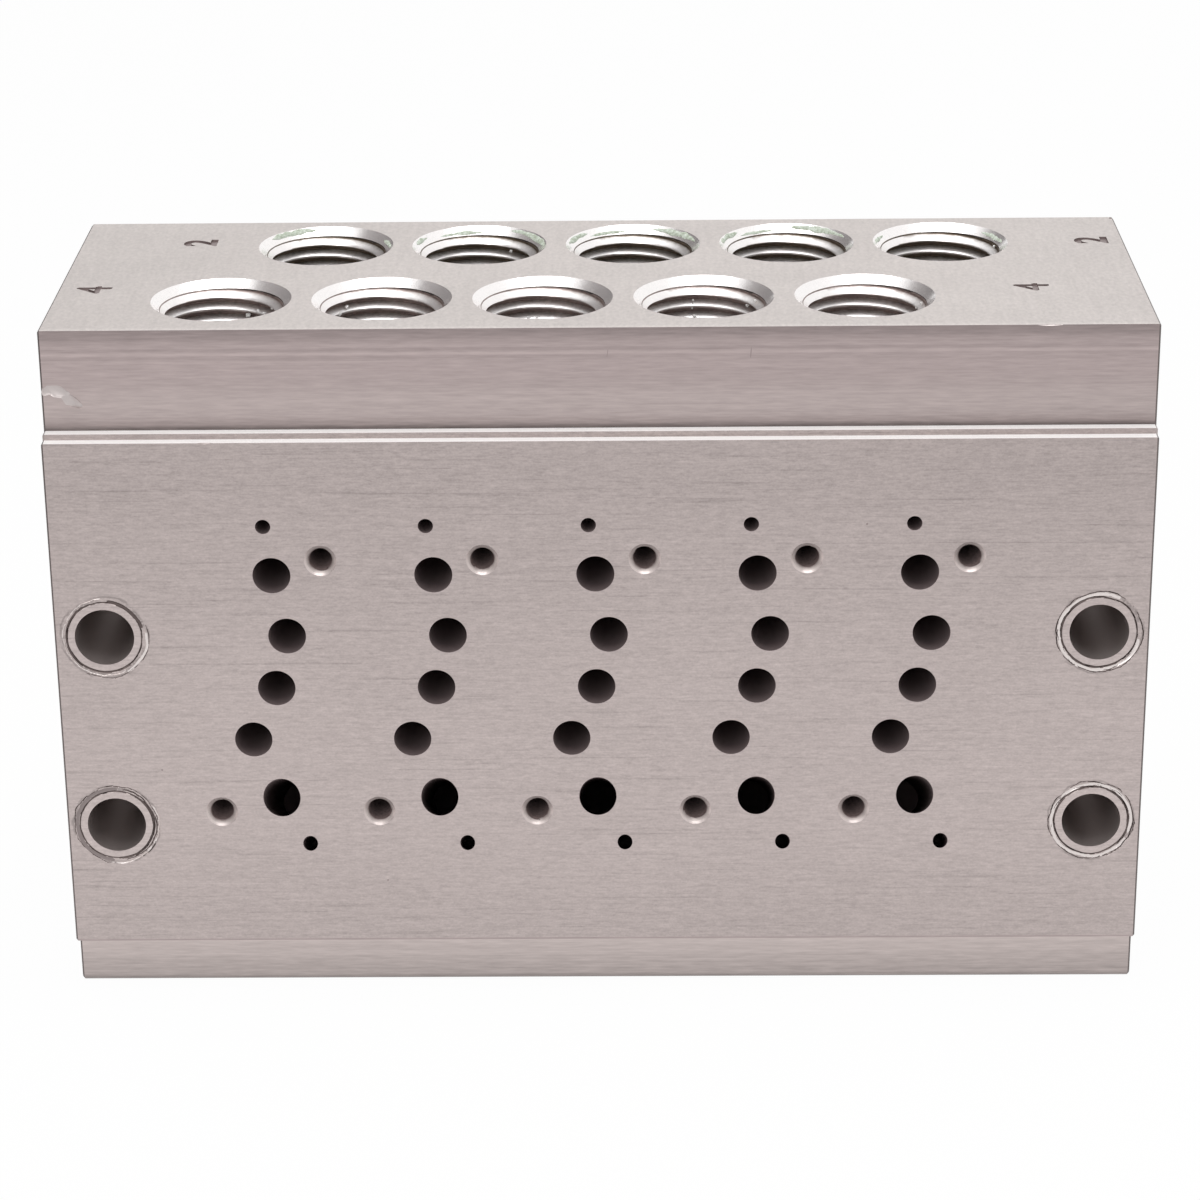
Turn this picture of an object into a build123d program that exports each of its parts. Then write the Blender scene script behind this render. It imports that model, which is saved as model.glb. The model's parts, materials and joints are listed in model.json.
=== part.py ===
from build123d import *
from math import cos, radians, tan
import os

# Valve manifold block for five 5-port valves that stand side by side on its front face.
# Frame: X along the bar, Y from the valve face (-Y) to the mounting face (+Y), Z up.
# The origin is the middle of the underside. Lengths are in millimetres.

# The bar: one extruded section, sawn to length, with its valve pad milled flat.
bar_length = 115.6
bar_height = 75.8
bar_depth = 38.7            # without the pad
pad_proud = 2.3             # the valve pad stands this far in front of the bar
pad_bottom = 6.2
pad_top = 64.25
lip_proud = 1.15            # the low step along the pad's upper edge
lip_height = 0.62
foot_radius = 1.0           # the bar's rounded lower edges
pad_edge_radius = 0.4       # the pad's lower edge
edge_break = 0.2            # the sharp edges left by the saw and the cutter

# The valve stations. Every X here is counted from the middle of a station.
station_count = 5
station_pitch = 17.0
stations_shift = -1.2       # the middle station against the middle of the bar
ports_across = 0.68         # ports 1, 3 and 5 share this line
work_ports_across = 2.04    # port 2 lies this far right and port 4 this far left
middle_level = 36.5         # port 1
work_ports_rise = 6.0       # port 2 above port 1 and port 4 below it
exhaust_ports_rise = 12.9   # port 3 above port 1 and port 5 below it
pilot_rise = 18.4
lower_pilot_across = 3.55
screw_across = 5.86         # the valve's two screws lie on a diagonal
screw_rise = 14.55
flow_radius = 2.0
pilot_radius = 0.8
slant = 27.0                # port 5 and the lower pilot hole are drilled downwards

# Screw threads, at their major and core radii.
valve_screw_radius = 1.5
valve_screw_core = 1.25
valve_screw_thread = 6.0
valve_screw_depth = 8.0
valve_screw_sink = 1.7
pipe_radius = 6.58
pipe_core = 5.72
pipe_thread = 12.0
pipe_drilled = 14.5
pipe_sink = 7.43
pilot_port_radius = 2.5
pilot_port_core = 2.1
pilot_port_thread = 6.0
pilot_port_drilled = 8.0
pilot_port_sink = 2.9

# The work ports in the top face and the passages below them.
work_port_across = 4.75     # port 4's pipe thread left and port 2's right of a station
front_row_depth = 12.7      # behind the valve face
back_row_depth = 32.0
passage_radius = 2.5
flow_overrun = 0.5          # how far a drilling runs past the passage it meets

# Screw holes through the ends of the bar, which hold it against its carrier.
mounting_inset = 5.3        # from each end of the bar
mounting_spacing = 22.0
mounting_low = 20.45
mounting_radius = 3.15

# The galleries that run along the bar from end to end.
gallery_wall = 1.1          # between a gallery's thread and the mounting holes beside it
gallery_depth = 22.35
pilot_gallery_radius = 1.6
upper_pilot_depth = 6.5
lower_pilot_depth = 8.5

drill_half_angle = 59.0
cut_clear = 0.6             # how far a cutter starts outside the metal

front_y = -(bar_depth + pad_proud) / 2
back_y = -front_y
body_y = front_y + pad_proud
half_length = bar_length / 2
row_x = [
    stations_shift + station_pitch * (i - (station_count - 1) / 2) for i in range(station_count)
]

mounting_spread = bar_length - 2 * mounting_inset
supply_level = mounting_low + mounting_spacing / 2
exhaust_reach = mounting_spacing / 2 + mounting_radius + gallery_wall + pipe_radius
gallery_levels = [supply_level - exhaust_reach, supply_level, supply_level + exhaust_reach]
upper_pilot_level = middle_level + pilot_rise
lower_pilot_level = middle_level - pilot_rise - lower_pilot_depth * tan(radians(slant))


def drilling(steps, sink_radius=0.0, lead=cut_clear):
    """A drilled hole to be cut away: its mouth at the origin, its axis down -Z.

    steps are (radius, depth) pairs from the mouth inwards. Each one ends in the
    cone that a twist drill leaves. A mouth that is countersunk has a 90 degree sink.
    """
    mouth_radius = steps[0][0]
    outline = [(0, lead)]
    if sink_radius > mouth_radius:
        outline += [(sink_radius + lead, lead), (mouth_radius, mouth_radius - sink_radius)]
    else:
        outline += [(mouth_radius, lead)]
    inner_radii = [radius for radius, depth in steps[1:]] + [0]
    for (radius, depth), inner in zip(steps, inner_radii):
        cone = (radius - inner) / tan(radians(drill_half_angle))
        outline += [(radius, -depth), (inner, -depth - cone)]
    with BuildPart() as tool:
        with BuildSketch(Plane.XZ):
            with BuildLine():
                Polyline(*outline, close=True)
            make_face()
        revolve(axis=Axis.Z)
    return tool.part


valve_face = Plane((0, front_y, 0), x_dir=(1, 0, 0), z_dir=(0, -1, 0))
top_face = Plane.XY.offset(bar_height)
right_end = Plane((half_length, 0, 0), x_dir=(0, 1, 0), z_dir=(1, 0, 0))
left_end = Plane((-half_length, 0, 0), x_dir=(0, -1, 0), z_dir=(-1, 0, 0))

# Drillings in the valve face, each as deep as the passage that it meets.
port_5_depth = gallery_depth / cos(radians(slant))
lower_pilot_run = lower_pilot_depth / cos(radians(slant))
slanted_lead = cut_clear + flow_radius * tan(radians(slant))
gallery_port = drilling([(flow_radius, gallery_depth)])
port_2 = drilling([(flow_radius, back_row_depth + flow_overrun)])
port_4 = drilling([(flow_radius, front_row_depth + flow_overrun)])
port_5 = drilling([(flow_radius, port_5_depth)], lead=slanted_lead)
upper_pilot = drilling([(pilot_radius, upper_pilot_depth)])
lower_pilot = drilling([(pilot_radius, lower_pilot_run)], lead=slanted_lead)
valve_screw = drilling(
    [(valve_screw_radius, valve_screw_thread), (valve_screw_core, valve_screw_depth)],
    valve_screw_sink,
)

# Drillings in the top face: a pipe thread over the passage down to ports 2 and 4.
pipe_mouth = [(pipe_radius, pipe_thread), (pipe_core, pipe_drilled)]
port_2_level = middle_level + work_ports_rise
port_4_level = middle_level - work_ports_rise
back_drop = bar_height - port_2_level + flow_radius
front_drop = bar_height - port_4_level + flow_radius
back_row_port = drilling(pipe_mouth + [(passage_radius, back_drop)], pipe_sink)
front_row_port = drilling(pipe_mouth + [(passage_radius, front_drop)], pipe_sink)

# Tapped mouths of the galleries in the two ends of the bar.
gallery_mouth = drilling([(pipe_radius, pipe_thread)], pipe_sink)
pilot_mouth = drilling(
    [(pilot_port_radius, pilot_port_thread), (pilot_port_core, pilot_port_drilled)],
    pilot_port_sink,
)

with BuildPart() as manifold_block:
    # The extruded section, from the foot of the front round to the back.
    with BuildSketch(Plane.YZ.offset(-half_length)):
        with BuildLine():
            Polyline(
                (body_y, 0),
                (body_y, pad_bottom),
                (front_y, pad_bottom),
                (front_y, pad_top),
                (body_y - lip_proud, pad_top),
                (body_y - lip_proud, pad_top + lip_height),
                (body_y, pad_top + lip_height),
                (body_y, bar_height),
                (back_y, bar_height),
                (back_y, 0),
                close=True,
            )
        make_face()
        fillet(vertices().group_by(Axis.Y)[0], radius=foot_radius)
        fillet(vertices().group_by(Axis.X)[0].sort_by(Axis.Y)[0], radius=pad_edge_radius)
    extrude(amount=bar_length)
    saw_cuts = manifold_block.faces().filter_by(Axis.X)
    chamfer(saw_cuts.edges(), length=edge_break)

    # The five stations: flow ports, pilot holes and the valve's screws.
    with Locations(valve_face.location):
        with Locations(*[(x, middle_level) for x in row_x]):
            with Locations((ports_across, 0), (ports_across, exhaust_ports_rise)):
                add(gallery_port, mode=Mode.SUBTRACT)
            with Locations((work_ports_across, work_ports_rise)):
                add(port_2, mode=Mode.SUBTRACT)
            with Locations((-work_ports_across, -work_ports_rise)):
                add(port_4, mode=Mode.SUBTRACT)
            with Locations((0, pilot_rise)):
                add(upper_pilot, mode=Mode.SUBTRACT)
            with Locations((screw_across, screw_rise), (-screw_across, -screw_rise)):
                add(valve_screw, mode=Mode.SUBTRACT)
            with Locations(Location((ports_across, -exhaust_ports_rise, 0), (-slant, 0, 0))):
                add(port_5, mode=Mode.SUBTRACT)
            with Locations(Location((lower_pilot_across, -pilot_rise, 0), (-slant, 0, 0))):
                add(lower_pilot, mode=Mode.SUBTRACT)

    # The two rows of pipe threads in the top face.
    with Locations(top_face.location):
        with Locations(*[(x - work_port_across, front_y + front_row_depth) for x in row_x]):
            add(front_row_port, mode=Mode.SUBTRACT)
        with Locations(*[(x + work_port_across, front_y + back_row_depth) for x in row_x]):
            add(back_row_port, mode=Mode.SUBTRACT)

    # The galleries along the bar and their tapped mouths.
    gallery_y = front_y + gallery_depth
    upper_pilot_y = front_y + upper_pilot_depth
    lower_pilot_y = front_y + lower_pilot_depth
    with BuildSketch(Plane.YZ.offset(-half_length)):
        with Locations(*[(gallery_y, level) for level in gallery_levels]):
            Circle(pipe_core)
        with Locations((upper_pilot_y, upper_pilot_level), (lower_pilot_y, lower_pilot_level)):
            Circle(pilot_gallery_radius)
    extrude(amount=bar_length, mode=Mode.SUBTRACT)
    for end_face, side in ((right_end, 1), (left_end, -1)):
        with Locations(end_face.location):
            with Locations(*[(side * gallery_y, level) for level in gallery_levels]):
                add(gallery_mouth, mode=Mode.SUBTRACT)
            with Locations(
                (side * upper_pilot_y, upper_pilot_level),
                (side * lower_pilot_y, lower_pilot_level),
            ):
                add(pilot_mouth, mode=Mode.SUBTRACT)

    # The four mounting holes, right through the bar.
    with Locations(valve_face.location):
        with Locations((0, supply_level)):
            with GridLocations(mounting_spread, mounting_spacing, 2, 2):
                Hole(mounting_radius)

manifold_block.part.label = "manifold_block"
os.makedirs("parts", exist_ok=True)
export_step(manifold_block.part, "parts/manifold_block.step")
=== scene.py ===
"""The looks of a valve manifold block: an extruded and milled aluminium bar with tapped ports.

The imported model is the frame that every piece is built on. Lengths are in millimetres
while a piece is being shaped, and in metres once it is finished. Numbers that repeat a
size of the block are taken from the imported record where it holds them.
"""

import json
import logging
import math
from dataclasses import dataclass, field
from enum import Enum

import bmesh
import bpy
from bmesh.types import BMEdge, BMesh, BMFace, BMVert
from bpy.types import ID, Material, Mesh, NodeSocket, Object
from mathutils import Matrix, Vector, noise


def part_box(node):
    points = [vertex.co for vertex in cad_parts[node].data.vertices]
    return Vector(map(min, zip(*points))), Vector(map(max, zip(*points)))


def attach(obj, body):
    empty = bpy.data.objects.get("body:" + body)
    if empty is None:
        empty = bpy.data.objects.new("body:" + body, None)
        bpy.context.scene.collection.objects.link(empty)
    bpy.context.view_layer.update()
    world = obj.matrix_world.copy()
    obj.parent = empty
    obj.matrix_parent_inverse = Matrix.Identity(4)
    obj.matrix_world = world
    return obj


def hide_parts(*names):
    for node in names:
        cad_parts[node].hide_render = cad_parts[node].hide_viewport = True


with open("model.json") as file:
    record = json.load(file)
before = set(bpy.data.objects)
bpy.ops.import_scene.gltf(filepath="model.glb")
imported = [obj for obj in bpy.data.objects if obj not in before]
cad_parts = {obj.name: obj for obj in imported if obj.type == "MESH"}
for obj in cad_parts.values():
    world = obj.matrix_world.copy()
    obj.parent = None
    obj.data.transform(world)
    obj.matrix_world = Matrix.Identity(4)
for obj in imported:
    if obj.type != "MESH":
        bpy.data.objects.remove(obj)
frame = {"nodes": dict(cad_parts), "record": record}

log = logging.getLogger("manifold")

MM = 0.001
BLOCK = "manifold_block"
BODY = "root"
SHARP = math.radians(32)  # edges that turn by more are shaded as edges
NOISE_SEED = 8  # without it the uneven lumps differ from run to run
Point = tuple[float, float, float]
Colour = tuple[float, float, float]


# ---------------- shader maths


class Wire:
    """An output of a node that can be used in arithmetic."""

    def __init__(self, graph: "Graph", socket: NodeSocket) -> None:
        """Wrap a socket of a graph."""
        self.graph = graph
        self.socket = socket

    def out(self, name: str) -> "Wire":
        """Another output of the same node."""
        return Wire(self.graph, self.socket.node.outputs[name])

    def _math(self, operation: str, *values: "Wire | float") -> "Wire":
        """A Math node on plain values."""
        return self.graph.add("Math", {"operation": operation}, dict(enumerate(values)))

    def __add__(self, other: "Wire | float") -> "Wire":
        """Sum."""
        return self._math("ADD", self, other)

    __radd__ = __add__

    def __sub__(self, other: "Wire | float") -> "Wire":
        """Difference."""
        return self._math("SUBTRACT", self, other)

    def __rsub__(self, other: "Wire | float") -> "Wire":
        """Difference, the other way round."""
        return self._math("SUBTRACT", other, self)

    def __mul__(self, other: "Wire | float") -> "Wire":
        """Product."""
        return self._math("MULTIPLY", self, other)

    __rmul__ = __mul__

    def __truediv__(self, other: "Wire | float") -> "Wire":
        """Quotient."""
        return self._math("DIVIDE", self, other)

    def __pow__(self, other: float) -> "Wire":
        """Power."""
        return self._math("POWER", self, other)

    def __abs__(self) -> "Wire":
        """Size without sign."""
        return self._math("ABSOLUTE", self)

    def most(self, other: "Wire | float") -> "Wire":
        """The larger of two values."""
        return self._math("MAXIMUM", self, other)

    def rise(self, start: float, end: float) -> "Wire":
        """A smooth step from 0 at start to 1 at end; end may be below start.

        Args:
            start: The value that gives 0.
            end: The value that gives 1.

        Returns:
            The step.
        """
        low, high = min(start, end), max(start, end)
        step = self.graph.add(
            "MapRange",
            {"interpolation_type": "SMOOTHSTEP"},
            {"Value": self, "From Min": low, "From Max": high},
        )
        return step if start < end else 1 - step

    def band(self, middle: float, half: float, soft: float) -> "Wire":
        """1 within half of the middle, falling to 0 over the soft width outside it."""
        return abs(self - middle).rise(half + soft, half)


class Graph:
    """The nodes of one material, or of the surround."""

    def __init__(self, name: str, world: bool = False) -> None:
        """Start an empty material or surround.

        Args:
            name: Its name.
            world: Whether it is the surround.
        """
        self.owner = bpy.data.worlds.new(name) if world else bpy.data.materials.new(name)
        self.owner.use_nodes = True
        self.tree = self.owner.node_tree
        self.tree.nodes.clear()
        self.output = self.tree.nodes.new("ShaderNodeOutput" + ("World" if world else "Material"))

    def add(
        self,
        kind: str,
        settings: dict[str, object] | None = None,
        inputs: dict[str | int, object] | None = None,
    ) -> Wire:
        """Add a node.

        Args:
            kind: The node's type, without its ShaderNode prefix.
            settings: Its properties, set before its inputs.
            inputs: Values or wires by the name or number of a socket.

        Returns:
            The node's first output that is in use.
        """
        node = self.tree.nodes.new("ShaderNode" + kind)
        for key, value in (settings or {}).items():
            setattr(node, key, value)
        for key, value in (inputs or {}).items():
            live = [s for s in node.inputs if s.enabled]
            socket = live[key] if isinstance(key, int) else next(s for s in live if s.name == key)
            if isinstance(value, Wire):
                self.tree.links.new(value.socket, socket)
            else:
                socket.default_value = value
        return Wire(self, next(s for s in node.outputs if s.enabled))

    def close(self, surface: Wire) -> ID:
        """Link a surface to the output, and give back the finished material or surround."""
        self.tree.links.new(surface.socket, self.output.inputs["Surface"])
        return self.owner

    def place(self) -> Wire:
        """The point on the object, in millimetres."""
        spot = self.add("TexCoord").out("Object")
        return self.add("VectorMath", {"operation": "MULTIPLY"}, {0: spot, 1: (1 / MM,) * 3})

    def along(self, spot: Wire, axis: str) -> Wire:
        """One of the three parts of a point: X, Y or Z."""
        return self.add("SeparateXYZ", {}, {0: spot}).out(axis)

    def grain(
        self,
        spot: Wire,
        stretch: Point,
        shift: Point = (0, 0, 0),
        detail: float = 3.0,
        rough: float = 0.6,
    ) -> Wire:
        """Fractal noise, about 0 to 1 with its middle at 0.5.

        Args:
            spot: The point in millimetres.
            stretch: Its scale by axis, which draws the noise out along the small factors.
            shift: Where in the noise it starts.
            detail: How many finer layers the noise has.
            rough: How strong they are.

        Returns:
            The noise.
        """
        at = self.add("VectorMath", {"operation": "MULTIPLY_ADD"}, {0: spot, 1: stretch, 2: shift})
        return self.add(
            "TexNoise",
            {"noise_dimensions": "3D"},
            {"Vector": at, "Scale": 1.0, "Detail": detail, "Roughness": rough},
        ).out("Fac")

    def rgba(self, colour: Wire | Colour) -> Wire | tuple[float, ...]:
        """A colour as a node's input takes it."""
        return colour if isinstance(colour, Wire) else (*colour, 1.0)

    def blend(self, share: Wire | float, first: Wire | Colour, second: Wire | Colour) -> Wire:
        """A colour between two, at a share of 0 to 1."""
        inputs = {"Factor": share, "A": self.rgba(first), "B": self.rgba(second)}
        return self.add("Mix", {"data_type": "RGBA"}, inputs)

    def shade(self, colour: Wire | Colour, amount: Wire) -> Wire:
        """A colour made lighter or darker by a factor about 1."""
        tone = self.add("CombineColor", {}, {0: amount, 1: amount, 2: amount})
        return self.add(
            "Mix",
            {"data_type": "RGBA", "blend_type": "MULTIPLY"},
            {"Factor": 1.0, "A": self.rgba(colour), "B": tone},
        )

    def relief(self, height: Wire, depth: float) -> Wire:
        """A surface normal for a relief of the given depth in millimetres."""
        return self.add("Bump", {}, {"Strength": 1.0, "Distance": depth * MM, "Height": height})

    def metal(
        self,
        colour: Wire | Colour,
        roughness: Wire | float,
        normal: Wire | None = None,
        metallic: Wire | float = 1.0,
    ) -> Material:
        """Close the graph with a Principled shader.

        Args:
            colour: The base colour.
            roughness: The roughness.
            normal: The bumped normal, if any.
            metallic: How metallic the surface is.

        Returns:
            The finished material.
        """
        inputs = {"Base Color": self.rgba(colour), "Roughness": roughness, "Metallic": metallic}
        if normal is not None:
            inputs["Normal"] = normal
        return self.close(self.add("BsdfPrincipled", {}, inputs))


# ---------------- finishes


class Face(Enum):
    """The kinds of surface on the block, by the names of their finishes."""

    PAD = "milled_pad"
    SKIN = "drawn_skin"
    BAND = "drawn_band"
    TOP = "matt_top"
    END = "sawn_end"
    LEDGE = "ledge"
    SINK = "countersink"
    SCREW_SINK = "screw_sink"
    BORE = "mounting_bore"
    PASSAGE = "passage"
    EDGE = "sawn_edge"
    FRESH = "fresh_cut"
    STAMPED = "stamped"
    PRESSED = "pressed"
    BRUISED = "bruised"
    RUBBED = "rubbed"


@dataclass(frozen=True)
class MilledPad:
    """The valve face: fly-cut across and then brushed along the bar.

    Each of the slopes is a change of tone over a stretch of height: from, to, and how much.
    """

    tone: Colour = (0.470, 0.407, 0.394)
    roughness: float = 0.42
    relief_mm: float = 0.004
    level: float = 0.914
    slopes: tuple[Point, ...] = (
        (62.0, 22.0, 0.10),
        (18.0, 7.0, -0.05),
        (61.0, 53.0, 0.05),
        (22.0, 13.0, -0.02),
    )

    def material(self, imprints: "Imprints") -> Material:
        """Make the finish.

        Args:
            imprints: The marks that the mounting screws have pressed into the face.

        Returns:
            The material.
        """
        g = Graph(Face.PAD.value)
        spot = g.place()
        fine = g.grain(spot, (1.1, 1.0, 5.4), rough=0.65)
        grit = g.grain(spot, (4.6, 1.0, 6.0), (1, 5, 2), 2.0)
        dashes = g.grain(spot, (0.30, 1.0, 3.2), (7, 0, 3))
        scores = g.grain(spot, (0.06, 1.0, 3.6), (0, 0, 31), 2.0, 0.5)
        broad = g.grain(spot, (0.03, 0.1, 0.05), (3, 1, 0), 2.0, 0.5)
        height = g.along(spot, "Z")
        tone = (
            sum(height.rise(start, end) * gain for start, end, gain in self.slopes)
            + self.level
            + (fine - 0.5) * 0.55
            + (grit - 0.5) * 0.34
            + (dashes - 0.5) * 0.30
            + (broad - 0.5) * 0.10
            - dashes.rise(0.58, 0.72) * 0.12
            - scores.rise(0.60, 0.74) * 0.14
            + scores.rise(0.38, 0.26) * 0.06
        )
        scuffed, burnish = imprints.masks(g, spot)
        colour = g.shade(self.tone, tone * (1 - scuffed * 0.34) + burnish * 0.09)
        roughness = self.roughness + (fine - 0.5) * 0.16 - burnish * 0.08
        normal = g.relief(fine + dashes * 0.5 - scuffed * 4, self.relief_mm)
        return g.metal(colour, roughness, normal)


@dataclass(frozen=True)
class ScrewHoles:
    """The four plain holes at the ends of the block, for the screws that hold it."""

    across: float = 52.5
    middle: float = 31.45
    half_spacing: float = 11.0
    radius: float = 3.15

    def offsets(self, x: Wire | float, z: Wire | float) -> tuple[Wire | float, Wire | float]:
        """How far a point lies from the axis of the nearest hole, along X and along Z."""
        return abs(x) - self.across, abs(z - self.middle) - self.half_spacing


@dataclass(frozen=True)
class Imprints:
    """Ring marks of the washers round the four mounting holes."""

    holes: ScrewHoles
    inner: float = 3.98
    outer: float = 4.62

    def masks(self, g: Graph, spot: Wire) -> tuple[Wire, Wire]:
        """Where the marks are.

        Args:
            g: The graph to add to.
            spot: The point in millimetres.

        Returns:
            How far the face is scuffed, and how far it is burnished.
        """
        dx, dz = self.holes.offsets(g.along(spot, "X"), g.along(spot, "Z"))
        radius = (dx * dx + dz * dz) ** 0.5
        wobble = g.grain(spot, (0.55, 0.55, 0.55), (1, 4, 2), 2.0, 0.5) - 0.5
        patch = g.grain(spot, (0.30, 0.30, 0.30), (9, 1, 5), 1.0, 0.5)
        nicks = g.grain(spot, (2.2, 2.2, 2.2), (3, 8, 5))
        outside = radius + wobble * 0.7 + (nicks - 0.5) * 0.3
        middle = (self.inner + self.outer) / 2
        scuffed = outside.band(middle, 0.10, 0.22) * patch.rise(0.44, 0.58) * nicks.rise(0.36, 0.56)
        rim = outside.band(self.outer, 0.03, 0.16) * patch.rise(0.60, 0.46)
        burnish = radius.rise(self.inner, self.inner - 0.3)
        return scuffed.most(rim * 0.9), burnish

    def marks(self, front: float) -> list["Imprint"]:
        """The cutters for the four holes: rings that all share, and some of their own.

        Args:
            front: Where the valve face lies along Y.

        Returns:
            The imprints.
        """
        dark, light = Face.PRESSED, Face.BRUISED
        own = {
            (-1, 1): [
                Groove(4.13, 0.13, 0.17, 0.06, dark, (14.0, 84.0), 0.4),
                Groove(4.50, 0.09, 0.15, 0.16, light, (-62.0, 8.0), 0.8),
                Groove(4.02, 0.12, 0.13, 0.06, dark, (120.0, 310.0), 0.8),
                Groove(4.68, 0.05, 0.05, 0.20, dark, (-120.0, 20.0)),
                Groove(4.34, 0.05, 0.05, 0.24, light, (90.0, 300.0)),
            ],
            (1, 1): [
                Groove(4.30, 0.08, 0.20, 0.12, light, (60.0, 350.0), 0.9),
                Groove(4.02, 0.12, 0.12, 0.08, dark, (80.0, 300.0), 0.9),
                Groove(4.56, 0.06, 0.06, 0.20, dark),
                Groove(4.34, 0.07, 0.05, 0.34, dark, (170.0, 330.0)),
            ],
            (-1, -1): [
                Groove(4.26, 0.08, 0.08, 0.16, dark, (-80.0, 80.0), 0.8),
                Groove(4.00, 0.12, 0.13, 0.08, dark, (-90.0, 60.0), 0.7),
                Groove(4.26, 0.06, 0.24, 0.12, Face.RUBBED, (85.0, 265.0), 0.4),
                Groove(4.52, 0.08, 0.10, 0.24, light, (-110.0, 30.0)),
                Groove(4.56, 0.05, 0.05, 0.34, dark),
            ],
            (1, -1): [
                Groove(4.28, 0.07, 0.18, 0.14, light, uneven=1.0),
                Groove(3.98, 0.12, 0.11, 0.08, dark, (-70.0, 200.0), 0.9),
                Groove(4.20, 0.06, 0.05, 0.22, dark, (10.0, 200.0)),
                Groove(4.58, 0.06, 0.06, 0.26, dark),
                Groove(4.42, 0.08, 0.06, 0.34, dark, (-80.0, 20.0)),
            ],
        }
        marks = []
        holes = self.holes
        for (side, level), grooves in own.items():
            at = (holes.across * side, front, holes.middle + holes.half_spacing * level)
            ring = Groove(self.inner, 0.10, 0.085, 0.08, dark, uneven=0.8)
            marks.append(Imprint(at, [*grooves, ring], len(marks)))
        return marks


@dataclass(frozen=True)
class DrawnSkin:
    """The extruded faces of the bar, with die lines that run its whole length.

    Each of the die lines is a narrow band: its height, half its width, how far it fades
    and how much it changes the tone. The slopes are from, to, and how much; the last two
    paint shade towards the foot's bottom edge, and the foot's lighter tone is painted light.
    """

    tone: Colour = (0.412, 0.342, 0.336)
    low_tone: Colour = (0.440, 0.373, 0.363)
    foot_tone: Colour = (0.556, 0.484, 0.466)
    roughness: float = 0.40
    relief_mm: float = 0.006
    ledge: float = 64.87
    foot: float = 6.2
    die_lines: tuple[tuple[float, float, float, float], ...] = (
        (73.13, 0.07, 0.14, 0.09),
        (73.58, 0.10, 0.16, -0.10),
        (72.75, 0.08, 0.16, -0.07),
    )
    slopes: tuple[Point, ...] = ((73.7, 75.5, -0.30), (6.2, 0.8, -0.25), (1.0, 0.3, -0.25))

    def material(self, kind: Face) -> Material:
        """Make the finish.

        Args:
            kind: SKIN, or BAND for the front, which has marks of its own, painted shade above the
                ledge and painted light on the foot.

        Returns:
            The material.
        """
        g = Graph(kind.value)
        spot = g.place()
        coarse = g.grain(spot, (0.004, 0.9, 0.9), (0, 2, 5), 2.0)
        lines = g.grain(spot, (0.012, 3.0, 3.0), rough=0.65)
        hair = g.grain(spot, (0.30, 3.4, 3.4), (2, 0, 8), rough=0.65)
        tone = 1.0 + (coarse - 0.5) * 0.20 + (lines - 0.5) * 0.26 + (hair - 0.5) * 0.46
        roughness = self.roughness + (lines - 0.5) * 0.2
        colour = self.tone
        if kind is Face.BAND:
            height = g.along(spot, "Z")
            above = height.rise(self.ledge - 0.4, self.ledge - 0.1)
            # Painted shade: darker in the corner and in the crease just above the ledge.
            corner_shade = height.rise(self.ledge + 1.8, self.ledge + 0.4) * above
            crease_shade = height.rise(self.ledge + 0.65, self.ledge + 0.05) * above
            tone = tone - corner_shade * 0.20 - crease_shade * 0.34
            for *line, gain in self.die_lines:
                tone += height.band(*line) * gain
            for start, end, gain in self.slopes:
                tone += height.rise(start, end) * gain
            roughness = roughness + corner_shade * 0.2
            colour = g.blend(height.rise(71.5, 67.5), self.tone, self.low_tone)
            # Painted light: the foot strip below the pad gets a lighter tone.
            colour = g.blend(height.rise(self.foot + 0.4, self.foot + 0.1), colour, self.foot_tone)
        normal = g.relief(coarse + lines, self.relief_mm)
        return g.metal(g.shade(colour, tone), roughness, normal)


@dataclass(frozen=True)
class MattTop:
    """The top face: fly-cut fine enough to look matt."""

    tone: Colour = (0.595, 0.552, 0.532)
    roughness: float = 0.5
    edge: float = -18.2

    def material(self) -> Material:
        """Make the finish."""
        g = Graph(Face.TOP.value)
        spot = g.place()
        fine = g.grain(spot, (2.6, 1.5, 1.0))
        streaks = g.grain(spot, (1.4, 0.12, 1.0), (4, 4, 4))
        cloud = g.grain(spot, (0.06, 0.12, 0.1), (2, 2, 2), rough=0.55)
        # Painted highlight: the top face grows lighter towards its front edge.
        rim = g.along(spot, "Y").rise(self.edge + 1.0, self.edge + 0.2)
        tone = 1.0 + (fine - 0.5) * 0.40 + (streaks + cloud - 1.0) * 0.14 + rim * 0.10
        colour = g.shade(self.tone, tone)
        return g.metal(colour, self.roughness + (fine - 0.5) * 0.14, g.relief(fine, 0.004))


@dataclass(frozen=True)
class SawnEnd:
    """The two ends of the bar, cut by a circular saw whose axis stood below and in front."""

    tone: Colour = (0.44, 0.385, 0.375)
    roughness: float = 0.42
    saw_y: float = -40.0
    saw_z: float = -95.0

    def material(self) -> Material:
        """Make the finish."""
        g = Graph(Face.END.value)
        spot = g.place()
        dy, dz = g.along(spot, "Y") - self.saw_y, g.along(spot, "Z") - self.saw_z
        sweep = (dy * dy + dz * dz) ** 0.5
        wander = g.grain(spot, (0.0, 0.04, 0.04), detail=2.0, rough=0.5)
        way = g.add("CombineXYZ", {}, {0: sweep * 1.6 + wander * 2.0})
        arcs = g.grain(way, (1, 1, 1), detail=4.0, rough=0.7)
        tone = 1.0 + (arcs - 0.5) * 0.30 + (wander - 0.5) * 0.12
        return g.metal(g.shade(self.tone, tone), self.roughness, g.relief(arcs, 0.01))


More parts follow.
